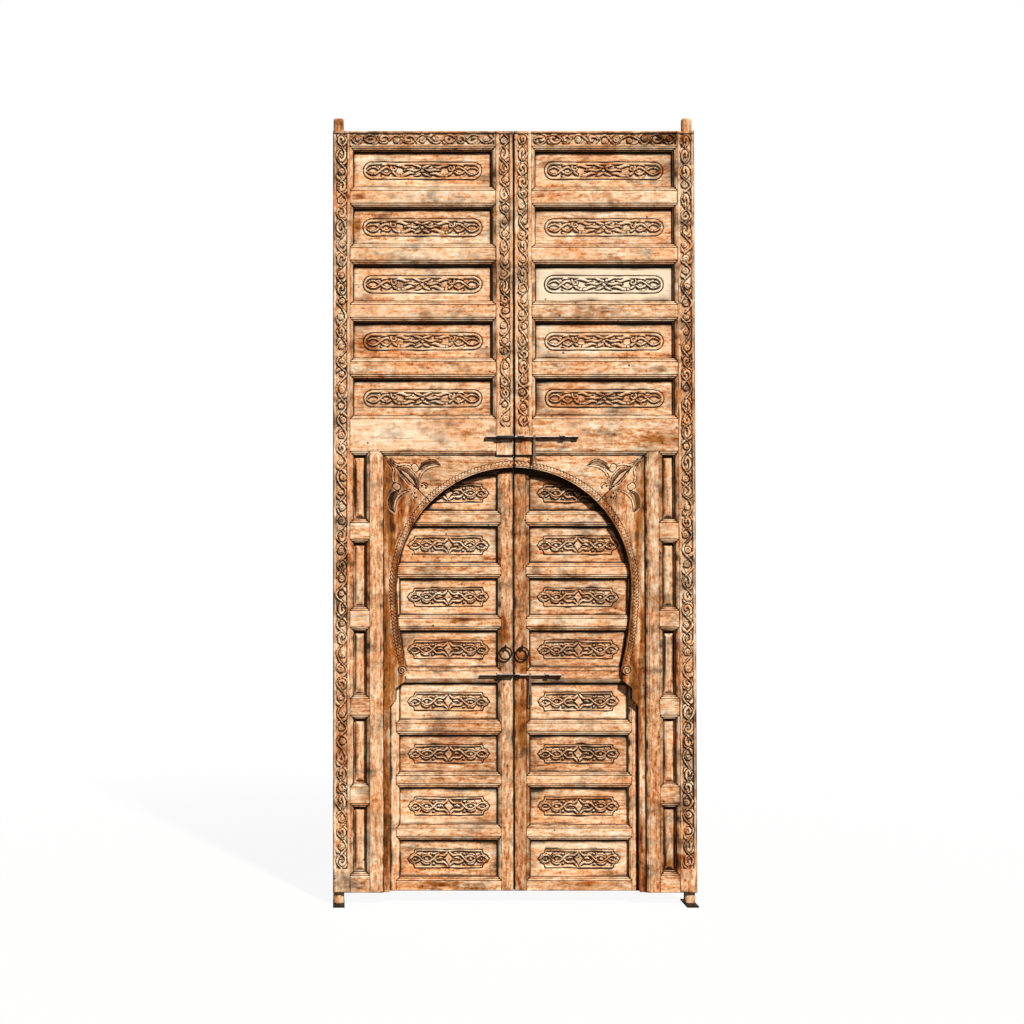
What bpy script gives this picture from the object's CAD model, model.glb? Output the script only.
"""Carved cedar double door with an arched wicket in each leaf.

Every board is a sheet worked out on a grid of two lengths, closed with walls and a flat back.
Lengths are millimetres in a leaf's own terms: u in from its outer edge, v up from its foot,
d back from its carved face. The right leaf mirrors the left one, with carving and wear of its own.
"""

import bpy
import numpy as np
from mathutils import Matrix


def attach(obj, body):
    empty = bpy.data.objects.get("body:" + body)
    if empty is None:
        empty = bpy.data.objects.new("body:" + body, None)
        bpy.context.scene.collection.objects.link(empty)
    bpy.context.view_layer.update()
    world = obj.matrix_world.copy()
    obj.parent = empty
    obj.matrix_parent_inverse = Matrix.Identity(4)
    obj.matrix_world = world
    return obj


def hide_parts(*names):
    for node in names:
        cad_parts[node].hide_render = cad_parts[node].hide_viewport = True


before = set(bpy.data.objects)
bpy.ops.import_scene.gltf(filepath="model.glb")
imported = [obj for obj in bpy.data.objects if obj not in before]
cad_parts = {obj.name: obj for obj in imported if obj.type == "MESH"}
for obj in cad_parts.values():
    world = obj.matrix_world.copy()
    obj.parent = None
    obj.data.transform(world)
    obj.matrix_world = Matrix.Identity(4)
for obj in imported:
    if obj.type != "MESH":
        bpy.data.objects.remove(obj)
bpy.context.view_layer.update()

# The leaf
LEAF_W = 687.0
LEAF_H = 2894.0
LEAF_T = 76.0
HALF_W = 689.0
FACE_Y = -38.0
LEAF_Z = 50.3
STILE = 64.0
MEETING = 621.0
MOULD = 16.0
LOCK_FOOT = 1655.0
LOCK_TOP = 1809.0
TOP_RAIL = 2820.0
PANEL_SET = 22.0
PANEL_T = 18.0
TONGUE = 8.0
POST = (124.0, 194.0)
UPPER = [(80.0, 605.0, LOCK_TOP + i * 218.2, LOCK_TOP + i * 218.2 + 138.2) for i in range(5)]
SIDE = [(80.0, 124.0, 80.0 + i * 333.6, 320.6 + i * 333.6) for i in range(5)]

# The wicket
WICKET = (197.0, 687.0)
WICKET_H = 1652.0
WICKET_SET = 36.0
WICKET_DROP = 7.0
WICKET_PANEL_SET = 50.0
WICKET_PANEL_T = 14.0
WICKET_OPEN = [(256.0, 626.0, 53.0 + i * 199.0, 190.5 + i * 199.0) for i in range(8)]

# The arch, measured out from the meeting line
POST_X = HALF_W - POST[1]
ARCH_R = POST_X - 46.0
ARCH_V = LOCK_FOOT - 45.0 - ARCH_R
ARCH_SET = 10.0
ARCH_BACK = 35.0
BORDER = 29.0
MITRE = (LOCK_FOOT - ARCH_V + POST_X) / 2 - ARCH_R / 2 ** 0.5
FOOT_X = ARCH_R * 0.92
FOOT_V = ARCH_V - ARCH_R * 0.678
SCROLL_R = 18.9
SCROLL = (FOOT_X + SCROLL_R * 0.8, FOOT_V - SCROLL_R)
STEP_X = FOOT_X + (POST_X - FOOT_X) * 0.46
LEG_X = FOOT_X + (POST_X - FOOT_X) * 0.745
CORBEL_V = SCROLL[1] - SCROLL_R * 2.2
STEP_V = CORBEL_V - SCROLL_R * 1.37
LEG_V = STEP_V - SCROLL_R * 3.6
# The inner edge of the side board below the spring, from its foot up: leg, step, corbel, scroll and haunch
RISE = np.linspace(0, 1, 9)
HAUNCH_V = np.concatenate([
    [0, LEG_V - 1, LEG_V, LEG_V + LEG_X - STEP_X, STEP_V, CORBEL_V, SCROLL[1] - SCROLL_R - 2],
    [SCROLL[1] - SCROLL_R, SCROLL[1] - 10, SCROLL[1], SCROLL[1] + 10],
    FOOT_V + (ARCH_V - FOOT_V) * RISE])
HAUNCH_X = np.concatenate([
    [LEG_X, LEG_X, LEG_X - 1, STEP_X, STEP_X, FOOT_X + 2, FOOT_X + 2],
    [SCROLL[0] + 2, FOOT_X + 1, FOOT_X - 3, FOOT_X - 2.5],
    FOOT_X + (ARCH_R - FOOT_X) * (1 - (1 - RISE) ** 2)])

# The pivot stubs: where both stand, and each one's radius and length
PIVOT_U = 22.0
STUB_TOP = (20.0, 53.0)
STUB_FOOT = (21.4, 44.0)

# Vine bands: where each starts and stops, the two edges it lies between, and the half wave of its stem
HANGING_VINE = ((92, LEAF_H - 12), (11, 54), 56)
MEETING_VINE = ((1765, LEAF_H - 12), (634, 674), 50)
TOP_VINE = ((72, 613), (2842, 2883), 50)

# The carver's gouge: how wide a line it cuts and how deep
GOUGE = (2.2, -2.6)

# Grid steps of carved faces, plain faces, plain panels and boards with soot on them
CARVE_STEP = 2.85
PLAIN_STEP = 9.0
PANEL_STEP = 14.0
SOOT_STEP = 7.0
# Heights between which a grid is closer: round the arch's brackets, and where soot meets the crown
BRACKET_SPAN = (690, 870)
CROWN_SPAN = (1560, 1625)

# Stains and bleached places on each leaf: middle u and v, half lengths, and how dark (below 0) or pale
BLOTCHES = {
    "left": [(262, 1588, 24, 24, -0.5), (655, 1695, 40, 42, -0.3), (105, 2643, 60, 12, -0.8),
             (270, 2356, 25, 8, -0.8), (510, 1735, 60, 16, -0.7), (222, 1560, 16, 80, -0.9),
             (228, 1400, 12, 70, -0.6), (500, 1030, 70, 9, -0.9), (655, 985, 22, 60, -0.7),
             (420, 25, 160, 14, -0.5), (92, 2535, 16, 34, -0.7), (30, 500, 40, 160, -0.35),
             (120, 2080, 50, 35, -0.45), (260, 1745, 120, 40, 0.4), (590, 1262, 50, 8, -0.9),
             (340, 2650, 120, 20, 0.35), (450, 1940, 120, 30, 0.3), (300, 600, 60, 200, 0.2)],
    "right": [(262, 1588, 28, 28, -0.7), (655, 1695, 40, 45, -0.6), (110, 2868, 110, 22, -0.7),
              (135, 1718, 60, 18, -0.7), (340, 2318, 260, 50, 0.7), (575, 1000, 50, 12, -0.7),
              (645, 870, 20, 30, -0.8), (205, 1480, 20, 120, -0.6), (655, 640, 25, 90, -0.6),
              (120, 2740, 45, 40, -0.5), (80, 120, 50, 60, -0.6), (480, 1745, 90, 25, 0.3),
              (300, 2540, 90, 18, 0.35), (500, 600, 60, 180, 0.2), (330, 1000, 60, 10, -0.5),
              (400, 25, 150, 14, -0.4)],
}
# Boards paler or darker all over than their neighbours, on the left leaf and on the right
BOARD_TONE = {"arch_side_board": (-0.4, -0.4), "arch_top_board": (-0.16, -0.12), "side_rails": (-0.08, -0.08),
              "jamb_post": (-0.3, -0.3), "hanging_stile": (-0.28, -0.2), "top_rail": (-0.12, -0.18),
              "lock_rail": (0.15, 0.0), "upper_panel_3": (0.0, 0.75), "wicket_rails": (-0.12, -0.12),
              "wicket_meeting_stile": (-0.2, -0.28), "wicket_panels": (-0.15, -0.12)}


def linear(code):
    """An sRGB hex colour as linear red, green, blue and full alpha."""
    value = np.array([int(code[i:i + 2], 16) for i in (1, 3, 5)]) / 255
    low, high = value / 12.92, ((value + 0.055) / 1.055) ** 2.4
    return (*np.where(value <= 0.04045, low, high), 1.0)


def add(tree, kind, values={}, links={}, stops=(), **settings):
    """Adds a node with its settings, socket values, incoming links and ramp stops."""
    made = tree.nodes.new(kind)
    for name, value in settings.items():
        setattr(made, name, value)
    for socket, value in values.items():
        made.inputs[socket].default_value = value
    for socket, source in links.items():
        tree.links.new(source, made.inputs[socket])
    for i, (place, code) in enumerate(stops):
        stop = made.color_ramp.elements[i] if i < 2 else made.color_ramp.elements.new(place)
        stop.position = place
        stop.color = linear(code)
    return made


def placed(name, data):
    """A new object in the scene."""
    made = bpy.data.objects.new(name, data)
    bpy.context.scene.collection.objects.link(made)
    return made


def empty_tree(owner):
    """The node tree of a material or world, with nothing in it."""
    owner.use_nodes = True
    owner.node_tree.nodes.clear()
    return owner.node_tree


def noise(tree, source, scale, detail, **values):
    """Noise around 0.5 on `source`, with `scale` waves to a metre each way. A W value picks another run."""
    size = add(tree, "ShaderNodeMapping", {"Scale": scale}, {"Vector": source})
    made = add(tree, "ShaderNodeTexNoise", {"Scale": 1.0, "Detail": detail}, {"Vector": size.outputs[0]},
               noise_dimensions="4D" if "W" in values else "3D")
    for socket, value in values.items():
        made.inputs[socket].default_value = value
    return made.outputs[0]


def coat(tree, under, code, amount, low, high, most, blend="MIX"):
    """One colour over another: none of it where `amount` is at `low`, and `most` of it at `high`."""
    share = add(tree, "ShaderNodeMapRange", {1: low, 2: high, 3: 0.0, 4: most}, {0: amount})
    laid = add(tree, "ShaderNodeMix", {7: linear(code)}, {0: share.outputs[0], 6: under}, data_type="RGBA",
               blend_type=blend)
    return laid.outputs[2]


def waver(u, v, size, seed):
    """Smooth waver between -1 and 1: seeded heights on a lattice `size` mm apart, eased from knot to knot."""
    knots = 61
    heights = np.random.default_rng(seed).uniform(-1, 1, (knots, knots))
    x, y = np.asarray(u) / size, np.asarray(v) / size
    i, j = np.floor(x).astype(int), np.floor(y).astype(int)
    f, g = x - i, y - j
    f, g = f * f * (3 - 2 * f), g * g * (3 - 2 * g)
    corner = [heights[(i + a) % knots, (j + b) % knots] for a in (0, 1) for b in (0, 1)]
    return (corner[0] * (1 - g) + corner[1] * g) * (1 - f) + (corner[2] * (1 - g) + corner[3] * g) * f


def ticks(low, high, step, fine=()):
    """Grid places from low to high about `step` apart, closer at each edge and in each fine stretch."""
    edges = [low + 1.0, low + 3.0, high - 3.0, high - 1.0]
    places = np.concatenate([np.linspace(low, high, max(2, int((high - low) / step) + 1)), edges])
    for a, b, close in fine:
        a, b = max(a, low), min(b, high)
        places = places[(places < a - close / 2) | (places > b + close / 2)]
        places = np.concatenate([places, np.linspace(a, b, int((b - a) / close) + 1)])
    return np.unique(np.clip(places, low, high))


def spread(heights, reach):
    """Mean of each point's neighbours within `reach` grid steps each way, by running sums."""
    for axis in (0, 1):
        pad = [(0, 0), (0, 0)]
        pad[axis] = (reach + 1, reach)
        total = np.cumsum(np.pad(heights, pad, mode="edge"), axis=axis)
        span = 2 * reach + 1
        top = np.take(total, np.arange(span, total.shape[axis]), axis=axis)
        foot = np.take(total, np.arange(0, total.shape[axis] - span), axis=axis)
        heights = (top - foot) / span
    return heights


def sheltered(d, weather):
    """How far each point lies behind the ones just above it on the weather side, where the rain does not wash
    out the dirt: 1 for 2 mm."""
    around = np.pad(d, 2, mode="edge")
    n, m = d.shape
    over = [around[2 + i:2 + i + n, 2 + j:2 + j + m] for i, j in ((weather, 1), (0, 2), (weather, 2))]
    return np.clip((d - np.minimum.reduce(over)) / 2.0, 0, 1.3)


def bent(points, share=7):
    """A smooth curve through the points: Catmull-Rom cubics, `share` steps to each span."""
    p = np.asarray(points, float)
    p = np.concatenate([[2 * p[0] - p[1]], p, [2 * p[-1] - p[-2]]])
    t = np.linspace(0, 1, share, endpoint=False)[None, :, None]
    a, b, c, d = (p[k:len(p) - 3 + k, None] for k in range(4))
    line = b + 0.5 * t * (c - a + t * (2 * a - 5 * b + 4 * c - d + t * (3 * (b - c) + d - a)))
    return np.concatenate([line.reshape(-1, 2), p[-2:-1]])


def strand(height, u, v, path, half, rise, cut=1.7, deep=-0.9):
    """Lays one carved strand over the heights: a ridge with a flat back, its edge where the distance to the
    path is `half`, with a gouged line `cut` wide each side. A later strand passes over an earlier one."""
    path = np.asarray(path, float)
    half = np.interp(np.linspace(0, 1, len(path)), np.linspace(0, 1, np.size(half)), np.atleast_1d(half))
    pad = half.max() + cut
    low, high = path.min(0) - pad, path.max(0) + pad
    pick = np.nonzero((u > low[0]) & (u < high[0]) & (v > low[1]) & (v < high[1]))
    if not len(pick[0]):
        return
    spot = np.stack([u[pick], v[pick]], -1)[:, None]
    a, ab = path[None, :-1], path[None, 1:] - path[None, :-1]
    t = np.clip(((spot - a) * ab).sum(-1) / np.maximum((ab * ab).sum(-1), 1e-9), 0, 1)
    gap = np.linalg.norm(spot - a - t[..., None] * ab, axis=-1)
    wide = half[None, :-1] * (1 - t) + half[None, 1:] * t
    nearest = (gap - wide).argmin(1)[:, None]
    gap, wide = np.take_along_axis(gap, nearest, 1)[:, 0], np.take_along_axis(wide, nearest, 1)[:, 0]
    ridge = rise * np.sqrt(np.clip(1 - (gap / np.maximum(wide, 0.1)) ** 3, 0, 1))
    found = height[pick]
    found = np.where(gap < wide + cut, np.minimum(found, deep), found)
    height[pick] = np.where(gap < wide, ridge, found)


def bounded(u, v, outline):
    """Distance to a closed outline, negative inside it: nearest point of an edge, and even-odd crossings."""
    a, b = outline, np.roll(outline, -1, 0)
    spot = np.stack([u.ravel(), v.ravel()], -1)[:, None]
    ab = (b - a)[None]
    t = np.clip(((spot - a) * ab).sum(-1) / (ab * ab).sum(-1), 0, 1)
    gap = np.linalg.norm(spot - a - t[..., None] * ab, axis=-1).min(1)
    over = (a[None, :, 1] > spot[..., 1]) != (b[None, :, 1] > spot[..., 1])
    rise = np.where(ab[..., 1] == 0, 1e-9, ab[..., 1])
    at = a[None, :, 0] + (spot[..., 1] - a[None, :, 1]) * ab[..., 0] / rise
    inside = ((over & (spot[..., 0] < at)).sum(1) % 2).astype(bool)
    return np.where(inside, -gap, gap).reshape(u.shape)


class Piece:
    """The closed shells of one wooden piece, gathered before they become a mesh."""

    def __init__(self, side, name, seed):
        self.side, self.name, self.seed = side, f"{side}_{name}", seed + (500 if side == "right" else 0)
        self.board_tone = BOARD_TONE.get(name, (0.0, 0.0))[side == "right"]
        self.random = np.random.default_rng(self.seed)
        self.points, self.grain, self.hollow, self.tone, self.faces = [], [], [], [], []
        self.count = 0
        self.soot, self.close = None, 16.0

    def shell(self, points, grain, hollow, faces, weathered=1.0):
        """Adds a closed shell. Its tone is a chance part and, where it is weathered, the board's own and the
        leaf's blotches: bell curves."""
        chance = self.random.uniform(-0.18, 0.18)
        tone = self.board_tone + np.zeros(len(points))
        rough = 0.75 + 0.6 * waver(points[:, 0], points[:, 1], 26, self.seed + 9)
        if "arch_side" in self.name:
            tone += 0.5 * waver(points[:, 0] * 3, points[:, 1] * 0.3, 60, self.seed + 10)
        for u, v, wide, high, amount in BLOTCHES[self.side]:
            off = ((points[:, 0] - u) / wide) ** 2 + ((points[:, 1] - v) / high) ** 2
            tone += amount * rough * np.exp(-off)
        self.points.append(points)
        self.grain.append(grain * 0.001 + self.random.uniform(0, 9, 2))
        self.hollow.append(hollow)
        self.tone.append(chance + weathered * tone)
        self.faces += [(np.asarray(f) + self.count).tolist() for f in faces]
        self.count += len(points)

    def board(self, u, v, d, back, upright=False, dirt=0.0, wear=0.35, grime=1.0, shelter=1.0):
        """A closed board: the carved front sheet (u, v, d), walls from its rim straight back and a flat back.
        Wear lowers the front by a slow waver. A point's hollow is how far it lies behind its neighbours'
        mean, and how far it is sheltered. Walls at an open joint stay dark most of the way back."""
        n, m = u.shape
        d = d + wear * (waver(u, v, 70, self.seed) + 0.5 * waver(u, v, 23, self.seed + 1) + 1.5) * 0.5
        deep = np.clip((d - spread(d, 2)) / 1.0, -1, 1) + 0.3 * np.clip((d - spread(d, 6)) / 3.5, -1, 1)
        front = np.stack([u, v, d], -1).reshape(-1, 3)
        order = np.arange(n * m).reshape(n, m)
        rim = np.concatenate([order[:-1, 0], order[-1, :-1], order[:0:-1, -1], order[0, :0:-1]])
        joint = "meeting" in self.name or "arch_top" in self.name
        dark, way_back = (0.85, 0.8) if joint else (0.3, 0.08)
        edge, rear = front[rim], front[rim]
        edge[:, 2] += (back - edge[:, 2]) * way_back
        rear[:, 2] = back
        round_edge = n * m + np.arange(len(rim))
        behind = round_edge + len(rim)
        sheet = np.stack([order[:-1, :-1], order[1:, :-1], order[1:, 1:], order[:-1, 1:]], -1).reshape(-1, 4)
        walls = [np.stack([a, b, np.roll(b, -1), np.roll(a, -1)], -1)
                 for a, b in ((rim, round_edge), (round_edge, behind))]
        points = np.concatenate([front, edge, rear])
        along, across = (1, 0) if upright else (0, 1)
        grain = np.stack([points[:, along], points[:, across] + points[:, 2]], -1)
        if self.soot is not None:
            dirt = dirt + self.soot(u, v)
        under = shelter * sheltered(d, -1 if self.side == "right" else 1)
        hollow = (grime * deep + under + dirt).ravel()
        hollow = np.concatenate([hollow, np.full(len(rim), dark), np.full(len(rim), 0.3)])
        weathered = np.where(np.arange(len(points)) < n * m, 1.0, 0.0)
        self.shell(points, grain, hollow, [*sheet, *walls[0], *walls[1], behind[::-1]], weathered)

    def strip(self, opening, edge, face=0.0, drop=8.0, ends=(True, True), gape=3.2, soil=0.0, foot=None):
        """A moulded strip along one edge of an opening: on a rail the profile of a quirk, a bead and a fillet
        down to `drop`, on a stile a plain hollow, carried along the edge. Its ends are mitred at 45 degrees
        or square. It is dark as far as `gape` from the mitre, `soil` darker all over, and `foot` dark at the
        panel."""
        u0, u1, v0, v1 = opening
        upright = edge in ("left", "right")
        across = np.array([0, 0.6, 1.4, 2.4, 3.8, 5.4, 7.0, 8.0, 9.0, 10.5, 12.4, 13.4, 14.6, MOULD])
        bead = np.array([0.2, 1.6, 2.3, 1.4, 0.9, 1.3, 2.4, 4.2, 4.0, 4.0, 4.6, 6.6, 7.4, 8])
        scoop = np.array([0.2, 0.7, 0.9, 0.8, 1.1, 1.7, 2.5, 3.1, 3.7, 4.7, 6.1, 6.9, 7.5, 8])
        fall = (scoop if upright else bead) * drop / 8
        spare = MOULD - across
        low, high = (v0, v1) if upright else (u0, u1)
        length = high - low + 2 * MOULD
        near_end = np.array([1.5, 3.5, 7.0]) / length
        share = np.linspace(0, 1, max(3, int(length / self.close)))
        share = np.unique(np.concatenate([share, near_end, 1 - near_end]))
        start = low - (spare if ends[0] else MOULD)
        stop = high + (spare if ends[1] else MOULD)
        run = np.outer(1 - share, start * np.ones_like(across)) + np.outer(share, stop * np.ones_like(across))
        rest = {"left": u0 - spare, "right": u1 + spare, "low": v0 - spare, "high": v1 + spare}[edge]
        rest = np.broadcast_to(rest, run.shape)
        depth = face + np.broadcast_to(fall, run.shape) + 0.5 * (waver(run, rest, 31, self.seed + 2) + 0.6)
        marks = {"left": [0.0, 0.3, 0.1, 0.3, 0.3, 0.3, 0.6, 1.4],
                 "right": [0.2, 1.1, 0.0, 0.9, 0.0, 0.4, 0.9, 1.4],
                 "low": [0.2, 0.9, 0.1, 0.1, 0.5, 0.15, 0.6, 0.9],
                 "high": [0.3, 1.1, 0.0, 0.1, 1.1, 0.2, 1.0, 1.3]}[edge]
        marks[-1] = marks[-1] if foot is None else foot
        at = [0, 2.2, 4.2, 7, 9, 11.5, 13.6, MOULD] if upright else [0, 1.4, 3, 6, 8, 11, 13.6, MOULD]
        dirt = (soil + np.interp(across, at, marks)) * (1 + 0.5 * waver(run, rest, 60, self.seed + 3))
        dirt = dirt + 0.15 * waver(run, rest, 24, self.seed + 4)
        joint = np.minimum(run - start, stop - run)
        dirt = dirt + 1.5 * np.exp(-(joint / gape) ** 2)
        if edge in ("right", "high"):
            run, rest, depth, dirt = (x[:, ::-1] for x in (run, rest, depth, dirt))
        if upright:
            self.board(rest.T, run.T, depth.T, LEAF_T, True, dirt.T, 0)
        else:
            self.board(run, rest, depth, LEAF_T, False, dirt, 0)

    def face(self, u0, u1, v0, v1, d, back, upright=False, fine=((), ()), soften=1.2, height=None, dirt=None,
             wear=0.35, step=PLAIN_STEP, joint=0.8, grime=1.0, shelter=1.0):
        """A flat face with softened edges: d grows by a quarter round within `soften` of the rim.
        height(u, v) adds what is carved on it and dirt(u, v) what has gathered. `joint` darkens its ends."""
        u, v = np.meshgrid(ticks(u0, u1, step, fine[0]), ticks(v0, v1, step, fine[1]), indexing="ij")
        rim = np.minimum(np.minimum(u - u0, u1 - u), np.minimum(v - v0, v1 - v))
        turn = np.clip(1 - rim / (2.2 * soften), 0, 1)
        depth = d + soften * (1 - np.sqrt(1 - turn ** 2 * 0.98))
        if height is not None:
            depth = depth - height(u, v)
        ends = np.minimum(v - v0, v1 - v) if upright else np.minimum(u - u0, u1 - u)
        stain = 0.42 * np.clip(waver(u, v, 120, self.seed + 4), 0, 1) + joint * np.exp(-ends / 2)
        stain = stain + 0.55 * np.exp(-rim / 14) * (0.45 + waver(u, v, 55, self.seed + 5))
        if dirt is not None:
            stain = stain + dirt(u, v)
        self.board(u, v, depth, back, upright, stain, wear, grime, shelter)

    def stub(self, radius, low, high, rough):
        """A stub hewn with a blade: a square with very round corners, times a waver round and along it,
        closed by one flat face at each end."""
        turn = np.linspace(0, 2 * np.pi, 40, endpoint=False)
        level = np.array([0, 0.03, 0.1, 0.3, 0.5, 0.7, 0.9, 0.97, 1])
        shrink = np.array([0.9, 0.97, 1, 1, 1, 1, 1, 0.97, 0.9])
        a, s = np.meshgrid(turn, level, indexing="ij")
        hewn = (0.5 + 0.5 * np.cos(7 * a + 0.6)) + (0.5 + 0.5 * waver(a * 20, s * 60, 17, self.seed))
        facet = 1 - rough * hewn
        square = (np.abs(np.cos(a)) ** 3 + np.abs(np.sin(a)) ** 3) ** (-1 / 3)
        reach = radius * facet * square * np.interp(s, level, shrink)
        rise = low + (high - low) * s
        points = np.stack([PIVOT_U + reach * np.cos(a), rise, LEAF_T / 2 + reach * np.sin(a)], -1)
        n, m = a.shape
        order = np.arange(n * m).reshape(n, m)
        wrap = np.roll(order, -1, 0)
        sheet = np.stack([order[:, :-1], wrap[:, :-1], wrap[:, 1:], order[:, 1:]], -1).reshape(-1, 4)
        caps = [order[::-1, 0], order[:, -1]]
        grain = np.stack([points[..., 1], radius * a], -1).reshape(-1, 2)
        self.shell(points.reshape(-1, 3), grain, 0.25 + 0 * a.ravel(), [*sheet, *caps])

    def build(self, body, material):
        """Turns the shells into one mesh in the door's frame, riding on its body in place of its solid."""
        points = np.concatenate(self.points)
        flip = -1 if self.side == "right" else 1
        u, v, d = points.T
        place = np.stack([flip * (u - HALF_W), d + FACE_Y, v + LEAF_Z], -1) * 0.001
        mesh = bpy.data.meshes.new(self.name)
        mesh.from_pydata(place, [], [f[::flip] for f in self.faces])
        corner = np.zeros(len(mesh.loops), np.int32)
        mesh.loops.foreach_get("vertex_index", corner)
        mesh.uv_layers.new(name="grain").data.foreach_set("uv", np.concatenate(self.grain)[corner].ravel())
        for name, values in (("hollow", self.hollow), ("tone", self.tone)):
            carried = mesh.attributes.new(name, "FLOAT", "POINT")
            carried.data.foreach_set("value", np.concatenate(values).astype(np.float32))
        mesh.shade_smooth()
        mesh.set_sharp_from_angle(angle=np.radians(42))
        mesh.materials.append(material)
        piece = placed(self.name + "_carved", mesh)
        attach(piece, body)
        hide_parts(self.name)


def running_vine(height, along, across, start, stop, middle, reach, pitch, random):
    """A running vine. The stem is a sine of half wave `pitch`. Each half wave holds a round boss with an eye,
    or a leaf that starts at the stem and curls in like a comma, with a small leaf in the free corner."""
    count = int(round((stop - start) / pitch))
    knots = start + (stop - start) * np.arange(count + 1) / count
    knots[1:-1] += random.uniform(-9, 9, count - 1)
    for k in range(count):
        s = 1 if k % 2 else -1
        foot, span = knots[k], knots[k + 1] - knots[k]
        lead = random.choice((-1, 1))
        root = foot if lead > 0 else foot + span
        wide = random.uniform(0.75, 1.3)
        sprig = [(root + lead * 0.98 * span, middle - s * 0.1 * reach),
                 (root + lead * 0.86 * span, middle - s * 0.62 * reach),
                 (root + lead * random.uniform(0.5, 0.66) * span, middle - s * 0.95 * reach)]
        strand(height, along, across, bent(sprig), [1.6, 5.4 * wide, 0.8], 4.4, *GOUGE)
        swell = random.uniform(0.74, 0.9)
        t = np.linspace(-0.08, 1.08, 15)
        stem = np.stack([foot + t * span, middle + s * swell * reach * np.sin(np.pi * t)], -1)
        strand(height, along, across, stem, 2.9 * wide, 4.6, *GOUGE)
        if random.random() < 0.55:
            eye = [foot + random.uniform(0.42, 0.58) * span, middle - s * random.uniform(0, 0.25) * reach]
            eye = np.array([eye, eye]) + [[0], [1]]
            strand(height, along, across, eye, random.uniform(9.5, 12.5), 4.4, *GOUGE)
            strand(height, along, across, eye + random.uniform(-3, 3, 2), 4.2, 4.8, 1.7, 0.6)
            continue
        curl = [(0.06, -0.05), (0.3, -0.5), (0.62, -0.46), (0.78, -0.02), (0.62, 0.3), (0.46, 0.16)]
        curl = [(root + lead * a * span, middle + s * b * reach * wide) for a, b in curl]
        strand(height, along, across, bent(curl), [2, 4, 5.4, 5.4, 4.4, 3], 4.8, *GOUGE)


def vine_band(random, vine, upright):
    """A carved band as a height to add to a face: a vine on a sunk ground that runs out at its edges."""
    (start, stop), (low, high), pitch = vine

    def height(u, v):
        along, across = (v, u) if upright else (u, v)
        band = np.minimum(across - low, high - across)
        band = np.minimum(band, np.minimum(along - start, stop - along) + 2)
        carved = np.zeros_like(u)
        bend = 3.0 * waver(u, v, 40, int(random.integers(9999)))
        worn = 0.8 + 0.25 * waver(u, v, 90, int(random.integers(9999)))
        middle, reach = (low + high) / 2, (high - low) / 2
        running_vine(carved, along, across + bend, start, stop, middle, reach, pitch, random)
        fillet = 2.8 * np.exp(-((v - LEAF_H + 10) / 2.0) ** 2)
        return np.clip((band + 2) / 4, 0, 1) * worn * (carved - 3.4) - fillet
    return height


def vine_strands():
    """Half of an upper cartouche, from its left tip to the middle: paths and half widths, far ones first."""
    turn = np.linspace(2.6, 8.2, 24)
    curl = np.stack([np.linspace(13, 4, 24) * np.cos(turn), np.linspace(12, 4, 24) * np.sin(turn)], -1)
    return [
        (bent([(-34, 22), (-18, 18), (0, 12)]), [1, 4.5, 3]),
        (bent([(-32, -21), (-16, -15), (0, -7)]), [1, 5, 3]),
        (bent([(-72, 1), (-52, 5), (-28, 1), (-6, 8)]), [1, 5, 5, 1]),
        (bent([(-104, 18), (-84, 21), (-62, 13), (-44, 17)]), [1, 6, 5, 1]),
        (bent([(-96, -18), (-72, -18), (-48, -9), (-28, -12)]), [2, 6, 5.5, 1]),
        (bent([(-160, -18), (-150, -22), (-136, -22)]), [1.5, 4, 1]),
        (bent([(-158, 19), (-148, 23), (-134, 21)]), [1.5, 4, 1]),
        (bent([(-216, 0), (-200, 11), (-182, 13), (-164, 2), (-149, -10), (-134, -13), (-121, -3),
               (-114, 9)]), [2, 3.9, 3.4]),
        (bent([(-216, 0), (-200, -11), (-182, -13), (-164, -1), (-149, 10), (-134, 13), (-119, 2),
               (-107, -11), (-92, -19)]), [2, 4, 4.2]),
        (curl + [-109, 10], [3.6, 2.6]),
        (np.array([(-92, -19), (-91, -19)]), 5.4),
        (np.array([(-1, 0), (1, 0)]), 5.5),
    ]


def strap_strands():
    """Half of a wicket cartouche: two strands from the tip that cross, and a ring knotted round them."""
    ring = np.linspace(0, 2 * np.pi, 30)
    upper = bent([(-146, 0), (-134, 11), (-118, 10), (-102, -3), (-88, -11), (-73, -10), (-58, 1), (-45, 13),
                  (-30, 14), (-18, 13), (-4, 25)])
    return [
        (np.stack([-85 + 18 * np.cos(ring), 19 * np.sin(ring)], -1), 3.4),
        (upper * [1, -1], [2.4, 3.7]),
        (upper, [2.4, 3.7]),
        (bent([(-42, -1), (-32, 4), (-22, 2)]), [1.2, 4, 1.6]),
        (np.array([(-87, 0), (-83, 0)]), 4.4),
        (np.array([(-126, 0), (-125, 0)]), 3.4),
        (np.array([(-60, 18), (-58, 18)]), 3.6),
        (np.array([(-60, -18), (-58, -18)]), 3.6),
    ]


STRAP_HALF = np.array([(-156, 0), (-150, 7), (-146, 15), (-139, 17), (-132, 22), (-129, 34.5)])
STRAP_OUTLINE = np.concatenate([STRAP_HALF, STRAP_HALF[::-1] * [-1, 1], STRAP_HALF[1:] * [-1, -1],
                                STRAP_HALF[:0:-1] * [1, -1]])
VINE = vine_strands()
STRAP = strap_strands()


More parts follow.
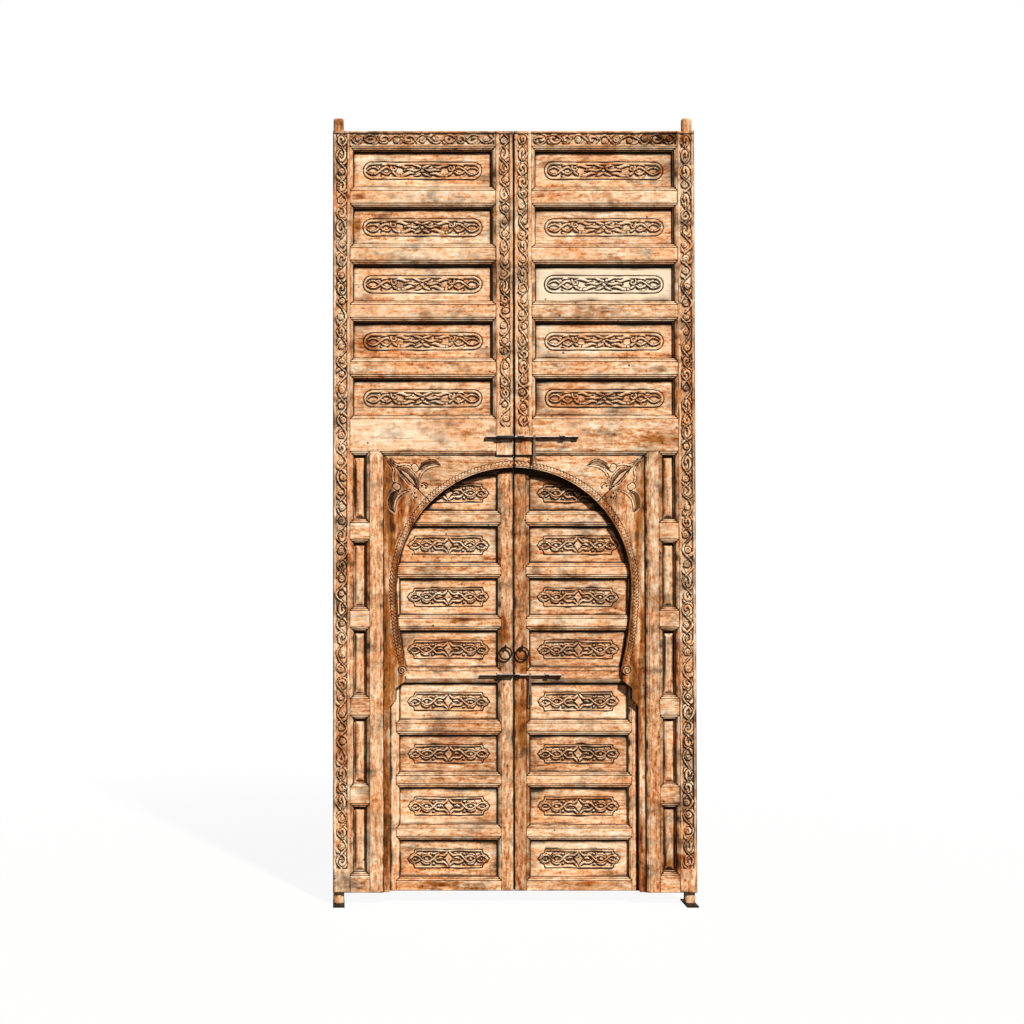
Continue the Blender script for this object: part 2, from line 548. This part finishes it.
def cartouche(middle, seed, strap):
    """A cartouche as a height to add to a panel: a gouged line along its outline, a flat rim inside that, a
    sunk ground, and its strands over that, on coordinates that waver as a hand does."""
    sunk = 2.4

    def height(u, v):
        x = u - middle[0] + 2.2 * waver(u, v, 48, seed)
        y = v - middle[1] + 1.6 * waver(u, v, 48, seed + 1)
        if strap:
            edge, rim = bounded(x, y, STRAP_OUTLINE), 4.5
        else:
            edge, rim = np.hypot(np.maximum(np.abs(x) - 192, 0) * 0.95, y) - 33, 8.0
        carved = np.zeros_like(u)
        for path, half in STRAP if strap else VINE:
            for side in (1, -1):
                strand(carved, x, y, path * [side, 1], half, 4.6, GOUGE[0], -sunk)
        if strap:
            star = 1 - (np.abs(x) / 17) ** 0.8 - (np.abs(y) / 24) ** 0.8
            carved = np.where(star > 0, 3.4, np.where(star > -0.18, -sunk, carved))
        inner = np.clip((-edge - rim) / 1.6, 0, 1)
        worn = 0.85 + 0.25 * waver(u, v, 110, seed + 2)
        relief = inner * (carved - sunk) + (1 - inner) * np.clip(-edge / 2, 0, 1) * 0.8
        return worn * (relief - 4.4 * np.exp(-((edge - 0.4) / 1.9) ** 2))
    return height


def opening_dirt(opening, seed, thick, reach):
    """Dirt on a panel as an amount to add to its hollows: `thick` at the opening's rim, fading over 2.5 mm, a
    patchy film fading over 24 mm, and soot as far as `reach` under the opening's head."""
    u0, u1, v0, v1 = opening

    def dirt(u, v):
        rim = np.minimum(np.minimum(u - u0, u1 - u), np.minimum(v - v0, v1 - v))
        patch = 0.5 + 0.8 * waver(u, v, 85, seed)
        soot = np.exp(-(np.maximum(v1 - v, 0) / reach) ** 4)
        inside = np.maximum(rim, 0)
        return soot + thick * np.exp(-inside / 2.5) + 0.3 * patch * np.exp(-inside / 24)
    return dirt


def arch_soot(side):
    """Soot on a wicket along the arch's edge, as an amount to add to its hollows: full at the edge, out to
    5 mm at the spring and 19 mm at the crown on the left, half as far again on the right."""
    reach = 1.5 if side == "right" else 1.0

    def soot(u, v):
        x, high = HALF_W - u, np.maximum(v - ARCH_V, 0)
        gap = np.where(v > ARCH_V, ARCH_R - np.hypot(x, high), np.interp(v, HAUNCH_V, HAUNCH_X) - x)
        return 1.3 * np.exp(-(gap / (reach * (5 + 14 * high / ARCH_R))) ** 4)
    return soot


def meeting_dirt(u, v):
    """Black along the meeting edge, fading over 2.5 mm."""
    return 1.5 * np.exp(-(LEAF_W - u) / 2.5)


def panel(piece, opening, depth, thick, seed, strap, step=PANEL_STEP):
    """A panel with its tongue all round and a carved cartouche in its middle."""
    u0, u1, v0, v1 = opening
    reach, down, soot = ((160, 38), 3, 9) if strap else ((232, 39), 5, 10)
    grime, shelter = (0.6, 1.0) if strap else (0.45, 0.85)
    middle = ((u0 + u1) / 2, (v0 + v1) / 2 - down)
    fine = [[(m - r, m + r, CARVE_STEP)] for m, r in zip(middle, reach)]
    piece.face(u0 - TONGUE, u1 + TONGUE, v0 - TONGUE, v1 + TONGUE, depth, depth + thick, False, fine,
               height=cartouche(middle, seed, strap), dirt=opening_dirt(opening, seed + 7, 0.9, soot),
               step=step, grime=grime, shelter=shelter)


def rail(piece, opening_below, opening_above, span, face=0.0, drop=8.0, low=None, high=None, step=PLAIN_STEP,
         gape=3.2):
    """A rail: its face, with a moulded strip along the opening below it and along the one above."""
    foot = opening_below[3] + MOULD if opening_below else low
    head = opening_above[2] - MOULD if opening_above else high
    piece.face(span[0], span[1], foot, head, face, LEAF_T, soften=1.6, wear=0.8, step=step, joint=1.4)
    if opening_below:
        piece.strip(opening_below, "high", face, drop, gape=gape)
    if opening_above:
        piece.strip(opening_above, "low", face, drop, gape=gape)


def arch_board(piece, inner, outer, upright, leaves):
    """An arch board ruled from its inner edge to its outer line. Along the inner edge runs a border: a plain
    fillet, a fine line, two rows of pits that take turns, and a cut that follows a cosine. Leaves are cut
    into the rest, and the mitre shows as an open joint."""
    line_at, pits_at, cut_at, pit_pitch = 4, (9, 16.5), 23.5, 13
    run = np.concatenate([[0], np.cumsum(np.linalg.norm(np.diff(inner, axis=0), axis=1))])
    ray = outer - inner
    length = np.linalg.norm(ray, axis=1)
    border = np.minimum(BORDER, 0.62 * length)
    near = np.linspace(0, 1, 15)
    far = np.linspace(0, 1, 52)[1:]
    reach = np.concatenate([np.outer(border, near), border[:, None] + np.outer(length - border, far)], 1)
    spot = inner[:, None] + ray[:, None] / length[:, None, None] * reach[..., None]
    x, v = spot[..., 0], spot[..., 1]
    rho = reach / border[:, None] * BORDER
    s = np.broadcast_to(run[:, None], rho.shape) + 1.2 * waver(x, v, 30, piece.seed + 6)
    turns = 2 * np.pi * s / pit_pitch
    pits = [np.clip(side * np.sin(turns), 0, 1) * np.exp(-((rho - row) / 2.5) ** 2)
            for side, row in zip((1, -1), pits_at)]
    rope = -2.6 * (0.7 + 0.5 * waver(x, v, 37, piece.seed + 7)) * np.maximum(*pits)
    rope = rope - 1.2 * np.exp(-((rho - line_at) / 1.2) ** 2)
    rope = rope - 2.6 * np.exp(-((rho - cut_at - 2 * np.cos(turns)) / 1.5) ** 2)
    live = np.clip((border[:, None] - 24) / 5, 0, 1) * np.clip((v - FOOT_V) / 20, 0, 1)
    height = np.where(rho < BORDER, rope * live, 0.0)
    cut = np.zeros_like(height)
    for path, half, rise in leaves:
        strand(cut, x, v, path, half, rise, 2.6, -2.6)
    height = height + np.where(rho >= BORDER, cut, 0)
    turn = np.arctan2(v - SCROLL[1], x - SCROLL[0])
    gap = np.hypot(x - SCROLL[0], v - SCROLL[1])
    scroll = np.where(gap < SCROLL_R, 1.6 * np.cos(2 * np.pi * (gap / 9 - turn / (2 * np.pi))) - 0.8, 0)
    height = height + (scroll if upright else 0)
    u = HALF_W - x
    mitre = np.abs(POST_X - x - LOCK_FOOT + v) / 2 ** 0.5 + np.where(v > ARCH_V, 0, 99)
    depth = ARCH_SET + 0.2 - np.minimum(height, 1.6) + 2.5 * np.exp(-(mitre / 2) ** 2)
    to_line = length[:, None] - reach
    dirt = 0.5 * np.exp(-reach / 3) + 0.9 * np.exp(-to_line / 5) + 1.4 * np.exp(-mitre / 2.4)
    dirt = dirt + 0.7 * np.clip(-cut / 2, 0, 1) + np.clip(-rope / 2, 0, 1) * live * (rho < BORDER)
    dirt = dirt + 1.5 * np.exp(-np.maximum(x - 2, 0) / 2.5)
    dirt = dirt + 0.35 * waver(u * (2 if upright else 0.5), v * (0.3 if upright else 2), 60, piece.seed + 8)
    du, dv = ((g[-1, 0] - g[0, 0], g[0, -1] - g[0, 0]) for g in (u, v))
    flip = -1 if du[0] * dv[1] < dv[0] * du[1] else 1
    u, v, depth, dirt = (g[::flip] for g in (u, v, depth, dirt))
    piece.board(u, v, depth, ARCH_BACK, upright, dirt, 0.3, shelter=0.0)


def palmette():
    """Leaves of the palmette at the mitre, measured in from the corner: a seed in a sunk bed over the mitre,
    and each side of it a stem with a round lobe, a sunk crescent and a raised sickle under that."""
    corner = np.array([POST_X, LOCK_FOOT])
    leaves = [([(24, 14), (52, 36), (92, 34), (108, 46)], [0.8, 2.6, 3.4, 1], 1.2),
              ([(116, 44), (121, 52)], 10.5, 1.0),
              ([(137, 54), (149, 37), (172, 28), (195, 27), (213, 38)], [2, 8, 11, 7, 0.8], -2.4),
              ([(131, 116), (138, 80), (159, 52), (190, 40), (214, 40)], [1, 2.6, 3.6, 3.2, 0.8], 1.4),
              ([(142, 116), (150, 108), (162, 112), (160, 124)], [0.8, 2, 2, 0.8], 0.9)]
    seed = [([(50, 44), (84, 68), (106, 92), (132, 127)], [1, 19, 19, 1], -2.2),
            ([(66, 58), (84, 74), (104, 96), (122, 117)], [0.8, 6, 6, 0.8], 0.4)]
    side = [([(b, a) for a, b in path], half, rise) for path, half, rise in leaves]
    return [[(bent(corner - np.array(path)), half, rise) for path, half, rise in group]
            for group in (leaves + seed, side + seed)]


def arch_boards(side, cedar):
    """The two boards round an arch: the upper one ruled to the lock rail, the side one to the jamb post."""
    upper_leaves, side_leaves = palmette()
    crown, spring, turns = np.arccos(2 / ARCH_R), 0, 150
    mitre = np.arctan2(LOCK_FOOT - MITRE - ARCH_V, POST_X - MITRE)
    circles = []
    for start, stop in ((crown, mitre), (mitre, spring)):
        angle = np.linspace(start, stop, turns)
        circles.append(np.stack([ARCH_R * np.cos(angle), ARCH_V + ARCH_R * np.sin(angle)], -1))
    over, beside = circles
    share = (over[:, 0] - 2) / (over[-1, 0] - 2)
    line = np.stack([2 + share * POST_X, np.full_like(share, LOCK_FOOT + 2)], -1)
    piece = Piece(side, "arch_top_board", 61)
    arch_board(piece, over, line, False, upper_leaves)
    piece.build(f"{side}_leaf", cedar)
    down = ticks(0, ARCH_V - 2, 6, [(*BRACKET_SPAN, 2.2), (BRACKET_SPAN[1], ARCH_V - 2, CARVE_STEP)])[::-1]
    leg = np.stack([np.interp(down, HAUNCH_V, HAUNCH_X), down], -1)
    share = (beside[:, 1] - ARCH_V) / (beside[0, 1] - ARCH_V)
    level = np.concatenate([ARCH_V + share * (LOCK_FOOT + 2 - ARCH_V), down])
    line = np.stack([np.full_like(level, POST_X + 2), level], -1)
    piece = Piece(side, "arch_side_board", 67)
    arch_board(piece, np.concatenate([beside, leg]), line, True, side_leaves)
    piece.build(f"{side}_leaf", cedar)


def pillow(opening):
    """A narrow raised field as a height to add to a panel: a slope 9 mm wide up to a gently crowned top."""
    u0, u1, v0, v1 = opening
    middle = (u0 + u1) / 2

    def height(u, v):
        rim = np.minimum(np.minimum(u - u0, u1 - u) - 5, (np.minimum(v - v0, v1 - v) - 6) * 0.7)
        slope = np.clip(rim / 9, 0, 1)
        return 5.2 * slope ** 0.8 + 1.6 * slope * (1 - ((u - middle) / 18) ** 2)
    return height


def leaf(side, cedar):
    """The framed leaf: stiles, rails, panels, jamb post and the side column."""
    body = f"{side}_leaf"
    # Dirt at the panel, on the mouldings each side of the narrow column: less on its left, which faces the sun
    stile_foot, post_foot = (0.6, 1.4) if side == "left" else (1.4, 0.6)
    carved = {"grime": 0.35, "shelter": 0.8}
    piece = Piece(side, "hanging_stile", 11)
    (start, stop), (low, high), _ = HANGING_VINE
    piece.face(0, STILE, 0, LEAF_H, 0, LEAF_T, True,
               ([(low - 3, high + 4, CARVE_STEP)], [(start - 4, stop + 4, CARVE_STEP)]),
               height=vine_band(piece.random, HANGING_VINE, True),
               dirt=lambda u, v: 1.3 * np.exp(-u / 2.5), soften=2.4, **carved)
    for opening in UPPER:
        piece.strip(opening, "left")
    for opening in SIDE:
        piece.strip(opening, "left", foot=stile_foot)
    piece.stub(STUB_TOP[0], LEAF_H - 4, LEAF_H + STUB_TOP[1], 0.025)
    piece.stub(STUB_FOOT[0], -STUB_FOOT[1], 4, 0.03)
    piece.build(body, cedar)

    piece = Piece(side, "meeting_stile", 13)
    (start, stop), (low, high), _ = MEETING_VINE
    piece.face(MEETING, LEAF_W, LOCK_FOOT, LEAF_H, 0, LEAF_T, True,
               ([(low - 3, high + 3, CARVE_STEP)], [(start - 4, stop + 4, CARVE_STEP)]),
               height=vine_band(piece.random, MEETING_VINE, True), dirt=meeting_dirt, soften=2.4, **carved)
    for opening in UPPER:
        piece.strip(opening, "right")
    piece.build(body, cedar)

    piece = Piece(side, "top_rail", 17)
    (start, stop), (low, high), _ = TOP_VINE
    piece.face(STILE, MEETING, TOP_RAIL + MOULD, LEAF_H, 0, LEAF_T, False,
               ([(start - 2, stop + 2, CARVE_STEP)], [(low - 1, high + 1, CARVE_STEP)]),
               height=vine_band(piece.random, TOP_VINE, False), **carved)
    piece.strip(UPPER[4], "high")
    piece.build(body, cedar)

    piece = Piece(side, "upper_rails", 19)
    for below, above in zip(UPPER[:-1], UPPER[1:]):
        rail(piece, below, above, (STILE, MEETING))
    piece.build(body, cedar)

    piece = Piece(side, "lock_rail", 23)
    piece.face(STILE, MEETING, LOCK_FOOT + MOULD, LOCK_TOP - MOULD, 0, LEAF_T, soften=1.6, wear=0.9)
    piece.strip(UPPER[0], "low")
    piece.strip(SIDE[4], "high")
    piece.strip((POST[1], MEETING - MOULD, 0, LOCK_FOOT), "high", ends=(True, False), soil=0.35)
    piece.build(body, cedar)

    for i, opening in enumerate(UPPER):
        piece = Piece(side, f"upper_panel_{5 - i}", 29 + i)
        panel(piece, opening, PANEL_SET, PANEL_T, piece.seed * 7, False)
        piece.build(body, cedar)

    piece = Piece(side, "jamb_post", 41)
    piece.face(POST[0] + MOULD, POST[1] - MOULD, 0, LOCK_FOOT + MOULD, 0, LEAF_T, True, wear=0.8)
    for opening in SIDE:
        piece.strip(opening, "right", foot=post_foot)
    piece.strip((POST[1], LEAF_W, MOULD, LOCK_FOOT), "left", ends=(False, True))
    piece.build(body, cedar)

    piece = Piece(side, "side_rails", 43)
    for below, above in zip([None] + SIDE[:-1], SIDE):
        rail(piece, below, above, (STILE, POST[0] + MOULD), low=0, step=5, gape=6.0)
    piece.build(body, cedar)

    piece = Piece(side, "side_panels", 47)
    for opening in SIDE:
        u0, u1, v0, v1 = opening
        piece.face(u0 - TONGUE, u1 + TONGUE, v0 - TONGUE, v1 + TONGUE, PANEL_SET, PANEL_SET + PANEL_T, True,
                   ([(u0, u1, 2.2)], [(v0, v0 + 24, 2.4), (v1 - 24, v1, 2.4)]), height=pillow(opening),
                   dirt=opening_dirt(opening, piece.seed, 0.4, 9), grime=0.5, shelter=0.35)
    piece.build(body, cedar)
    arch_boards(side, cedar)


def wicket(side, cedar):
    """The framed wicket behind the arch: stiles, rails and eight panels, sooty along the arch."""
    body = f"{side}_wicket"
    span = (WICKET_OPEN[0][0] - MOULD, WICKET_OPEN[0][1] + MOULD)

    def begin(name, seed):
        piece = Piece(side, name, seed)
        piece.soot, piece.close = arch_soot(side), 11.0
        return piece

    for name, u0, u1, edge, seed in (("wicket_hanging_stile", WICKET[0], span[0], "left", 71),
                                     ("wicket_meeting_stile", span[1], WICKET[1], "right", 73)):
        piece = begin(name, seed)
        piece.face(u0, u1, 0, WICKET_H, WICKET_SET, LEAF_T, True, ((), [(*CROWN_SPAN, 3)]), wear=0.8,
                   dirt=meeting_dirt)
        for opening in WICKET_OPEN:
            piece.strip(opening, edge, WICKET_SET, WICKET_DROP)
        piece.build(body, cedar)
    piece = begin("wicket_top_rail", 79)
    rail(piece, WICKET_OPEN[-1], None, span, WICKET_SET, WICKET_DROP, high=WICKET_H, step=4)
    piece.build(body, cedar)
    piece = begin("wicket_bottom_rail", 83)
    rail(piece, None, WICKET_OPEN[0], span, WICKET_SET, WICKET_DROP, low=0)
    piece.build(body, cedar)
    piece = begin("wicket_rails", 89)
    for below, above in zip(WICKET_OPEN[:-1], WICKET_OPEN[1:]):
        rail(piece, below, above, span, WICKET_SET, WICKET_DROP, step=SOOT_STEP)
    piece.build(body, cedar)
    piece = begin("wicket_panels", 97)
    for i, opening in enumerate(WICKET_OPEN):
        # The three lowest lie clear of the arch
        step = PANEL_STEP if i < 3 else SOOT_STEP
        panel(piece, opening, WICKET_PANEL_SET, WICKET_PANEL_T, piece.seed * 5 + i, True, step)
    piece.build(body, cedar)


def weathered_cedar():
    """Dry cedar, hand carved and long in the sun: pale peach ridges, orange and brown streaks along the
    grain, dark grime in every hollow and brown stains across the boards."""
    material = bpy.data.materials.new("weathered_cedar")
    tree = empty_tree(material)
    grain = add(tree, "ShaderNodeUVMap", uv_map="grain").outputs["UV"]
    place = add(tree, "ShaderNodeTexCoord").outputs["Object"]
    hollow = add(tree, "ShaderNodeAttribute", attribute_name="hollow").outputs["Fac"]
    tone = add(tree, "ShaderNodeAttribute", attribute_name="tone").outputs["Fac"]
    # Grain lines about 8 mm wide and 200 mm long, drawn coarser than cedar's own so that they show
    streaks = noise(tree, grain, (5, 130, 1), 6.0, Roughness=0.7)
    # Bands of growth about 30 mm wide and 800 mm long
    bands = noise(tree, grain, (1.3, 32, 1), 3.0, Distortion=0.4)
    # Weathering in flecks 40 mm long and 12 mm wide
    flecks = noise(tree, grain, (25, 80, 1), 5.0, Roughness=0.65)
    # Mottling 10 mm across where rain and hands have worn the face
    mottle = noise(tree, place, (95, 95, 95), 3.0, Roughness=0.6)
    both = add(tree, "ShaderNodeMix", {0: 0.4}, {2: streaks, 3: bands})
    worn = add(tree, "ShaderNodeMix", {0: 0.5}, {2: flecks, 3: mottle})
    all_four = add(tree, "ShaderNodeMix", {0: 0.5}, {2: both.outputs[0], 3: worn.outputs[0]})
    wood = add(tree, "ShaderNodeValToRGB", links={0: all_four.outputs[0]},
               stops=[(0.39, "#7C4A26"), (0.6, "#FFFAE4"), (0.45, "#E89F64"), (0.508, "#FFD4A8")])
    # Warm patches 150 mm across
    patches = noise(tree, place, (6.5, 6.5, 6.5), 2.0)
    colour = coat(tree, wood.outputs[0], "#E8AA58", patches, 0.45, 0.7, 0.5, "MULTIPLY")
    # Silvered patches 120 mm across
    colour = coat(tree, colour, "#CEA180", noise(tree, place, (8, 8, 8), 4.0, W=24.0), 0.5, 0.7, 0.35)
    # Stains about 110 mm wide and 70 mm high
    stains = noise(tree, place, (9, 9, 15), 6.0, Roughness=0.65)
    colour = coat(tree, colour, "#523520", stains, 0.52, 0.7, 0.78)
    # Weather checks along the grain, drawn 5 mm wide and 90 mm long so that they show
    colour = coat(tree, colour, "#4A2C16", noise(tree, grain, (11, 190, 1), 3.0, W=5.0), 0.6, 0.7, 0.65)
    # The board's own tone, broken up by the flecks: umber where it is stained, washed out where bleached
    ragged = add(tree, "ShaderNodeMath", {1: 1.1, 2: -0.5}, {0: flecks}, operation="MULTIPLY_ADD")
    level = add(tree, "ShaderNodeMath", links={0: tone, 1: ragged.outputs[0]}, operation="ADD").outputs[0]
    depth = add(tree, "ShaderNodeMapRange", {1: -1.0, 2: 0.0, 3: 0.0, 4: 1.0}, {0: level})
    umber = add(tree, "ShaderNodeValToRGB", links={0: depth.outputs[0]},
                stops=[(0.0, "#4A2F1C"), (1.0, "#FFFFFF"), (0.5, "#B08650")])
    toned = add(tree, "ShaderNodeMix", {0: 1.0}, {6: colour, 7: umber.outputs[0]}, data_type="RGBA",
                blend_type="MULTIPLY")
    colour = coat(tree, toned.outputs[2], "#FFEDD1", level, 0.1, 1.0, 0.8)
    # Nail holes and dead knots 8 mm across
    cells = add(tree, "ShaderNodeTexVoronoi", {"Scale": 14.0}, {"Vector": place})
    colour = coat(tree, colour, "#2A180D", cells.outputs["Distance"], 0.075, 0.045, 0.85)
    # Ridges rubbed pale
    colour = coat(tree, colour, "#FFEFCF", hollow, -0.3, -1.2, 0.55)
    # Grime in the hollows, broken up by the streaks
    broken = add(tree, "ShaderNodeMath", {1: 0.55}, {0: streaks, 2: hollow}, operation="MULTIPLY_ADD")
    colour = coat(tree, colour, "#120904", broken.outputs[0], 0.5, 1.25, 0.96)
    bump = add(tree, "ShaderNodeBump", {"Strength": 0.8, "Distance": 0.002}, {"Height": streaks})
    shader = add(tree, "ShaderNodeBsdfPrincipled",
                 {"Roughness": 0.72, "Specular IOR Level": 0.12, "IOR": 1.5},
                 {"Base Color": colour, "Normal": bump.outputs[0]})
    add(tree, "ShaderNodeOutputMaterial", links={0: shader.outputs[0]})
    return material


def forged_iron(name, rubbed, start):
    """Iron forged by hand: hammer marks, nearly black scale and brown rust in patches, rubbed to another
    colour where its face turns up by more than `start`."""
    material = bpy.data.materials.new(name)
    tree = empty_tree(material)
    place = add(tree, "ShaderNodeTexCoord")
    # Hammer marks 8 mm across, rust 25 mm across
    marks = add(tree, "ShaderNodeTexVoronoi", {"Scale": 120.0}, {"Vector": place.outputs["Object"]},
                feature="SMOOTH_F1")
    rust = noise(tree, place.outputs["Object"], (40, 40, 40), 6.0)
    scale = add(tree, "ShaderNodeValToRGB", links={0: rust},
                stops=[(0.36, "#0C0907"), (0.7, "#3A281C"), (0.52, "#1C1612")])
    facing = add(tree, "ShaderNodeSeparateXYZ", links={0: place.outputs["Normal"]})
    colour = coat(tree, scale.outputs[0], rubbed, facing.outputs["Z"], start, start + 0.15, 0.9)
    rough = add(tree, "ShaderNodeMapRange", {1: 0.3, 2: 0.7, 3: 0.45, 4: 0.75}, {0: rust})
    bump = add(tree, "ShaderNodeBump", {"Strength": 0.6, "Distance": 0.0015},
               {"Height": marks.outputs["Distance"]})
    shader = add(tree, "ShaderNodeBsdfPrincipled", {"Metallic": 0.2, "Specular IOR Level": 0.2},
                 {"Base Color": colour, "Roughness": rough.outputs[0], "Normal": bump.outputs[0]})
    add(tree, "ShaderNodeOutputMaterial", links={0: shader.outputs[0]})
    return material


def studio():
    """Pale floor that fades into a white surround, one key light from the upper right, and an even fill."""
    turn = np.linspace(0, 2 * np.pi, 96, endpoint=False)
    ring = np.linspace(0, 1, 14)[1:] * 5.0
    a, r = np.meshgrid(turn, ring, indexing="ij")
    points = np.concatenate([[(0, 0, 0)], np.stack([r * np.cos(a), r * np.sin(a), 0 * a], -1).reshape(-1, 3)])
    order = 1 + np.arange(a.size).reshape(a.shape)
    wrap = np.roll(order, -1, 0)
    fan = np.stack([np.zeros(len(turn), int), order[:, 0], wrap[:, 0]], -1).tolist()
    sheet = np.stack([order[:, :-1], order[:, 1:], wrap[:, 1:], wrap[:, :-1]], -1).reshape(-1, 4).tolist()
    mesh = bpy.data.meshes.new("floor")
    mesh.from_pydata(points, [], fan + sheet)
    floor = placed("floor", mesh)
    material = bpy.data.materials.new("white_floor")
    tree = empty_tree(material)
    place = add(tree, "ShaderNodeTexCoord")
    far = add(tree, "ShaderNodeVectorMath", links={0: place.outputs["Object"]}, operation="LENGTH")
    fade = add(tree, "ShaderNodeMapRange", {1: 1.2, 2: 4.6, 3: 0.0, 4: 1.0}, {0: far.outputs["Value"]},
               interpolation_type="SMOOTHSTEP")
    ray = add(tree, "ShaderNodeLightPath")
    seen = ray.outputs["Is Camera Ray"]
    shade = add(tree, "ShaderNodeMix", {6: linear("#707070"), 7: linear("#F6F6F6")}, {0: seen},
                data_type="RGBA")
    paint = add(tree, "ShaderNodeBsdfDiffuse", links={"Color": shade.outputs[2]})
    glow = add(tree, "ShaderNodeEmission", {"Color": (1, 1, 1, 1), "Strength": 1.0})
    share = add(tree, "ShaderNodeMath", {1: 0.93}, {0: seen}, operation="MULTIPLY")
    bright = add(tree, "ShaderNodeMixShader",
                 links={0: share.outputs[0], 1: paint.outputs[0], 2: glow.outputs[0]})
    clear = add(tree, "ShaderNodeBsdfTransparent")
    mix = add(tree, "ShaderNodeMixShader",
              links={0: fade.outputs[0], 1: bright.outputs[0], 2: clear.outputs[0]})
    add(tree, "ShaderNodeOutputMaterial", links={0: mix.outputs[0]})
    mesh.materials.append(material)

    world = bpy.data.worlds.new("surround")
    bpy.context.scene.world = world
    tree = empty_tree(world)
    ray = add(tree, "ShaderNodeLightPath").outputs
    seen = add(tree, "ShaderNodeMath", links={0: ray["Is Camera Ray"], 1: ray["Is Glossy Ray"]},
               operation="MAXIMUM")
    clear = add(tree, "ShaderNodeMath", links={0: seen.outputs[0], 1: ray["Is Transmission Ray"]},
                operation="MAXIMUM")
    fill = add(tree, "ShaderNodeBackground", {"Color": linear("#FFFAF4"), "Strength": 0.07})
    white = add(tree, "ShaderNodeBackground", {"Color": (1, 1, 1, 1), "Strength": 1.0})
    mix = add(tree, "ShaderNodeMixShader",
              links={0: clear.outputs[0], 1: fill.outputs[0], 2: white.outputs[0]})
    add(tree, "ShaderNodeOutputWorld", links={0: mix.outputs[0]})

    lamp = bpy.data.lights.new("key", "SUN")
    lamp.energy = 4.5
    lamp.angle = np.radians(3)
    lamp.color = linear("#FFFAF4")[:3]
    placed("key", lamp).rotation_euler = (np.radians(50.5), 0, np.radians(24))


def camera():
    """A long lens square to the door, standing before its left leaf and tipped up a little."""
    lens = bpy.data.cameras.new("camera")
    lens.sensor_width = 36
    lens.lens = 59.8
    lens.shift_x = 0.1725
    lens.shift_y = -0.0245
    view = placed("camera", lens)
    view.location = (-0.68, -6.5, 1.45)
    view.rotation_euler = (np.radians(91.2), 0, 0)
    bpy.context.scene.camera = view


bpy.context.scene.view_settings.view_transform = "Standard"
camera()
studio()
cedar = weathered_cedar()
iron = forged_iron("rubbed_iron", "#D0B8A4", 0.02)
black = forged_iron("black_iron", "#241A14", 0.3)
brown = forged_iron("brown_iron", "#7E6452", -2.0)
for side in ("left", "right"):
    leaf(side, cedar)
    wicket(side, cedar)
for name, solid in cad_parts.items():
    finish = cedar
    for word, metal in (("bolt", iron), ("staple", iron), ("keeper", iron), ("hasp", brown), ("ring", black),
                        ("hinge", black), ("pivot", black)):
        finish = metal if word in name else finish
    solid.data.materials.clear()
    solid.data.materials.append(finish)

bpy.context.view_layer.update()
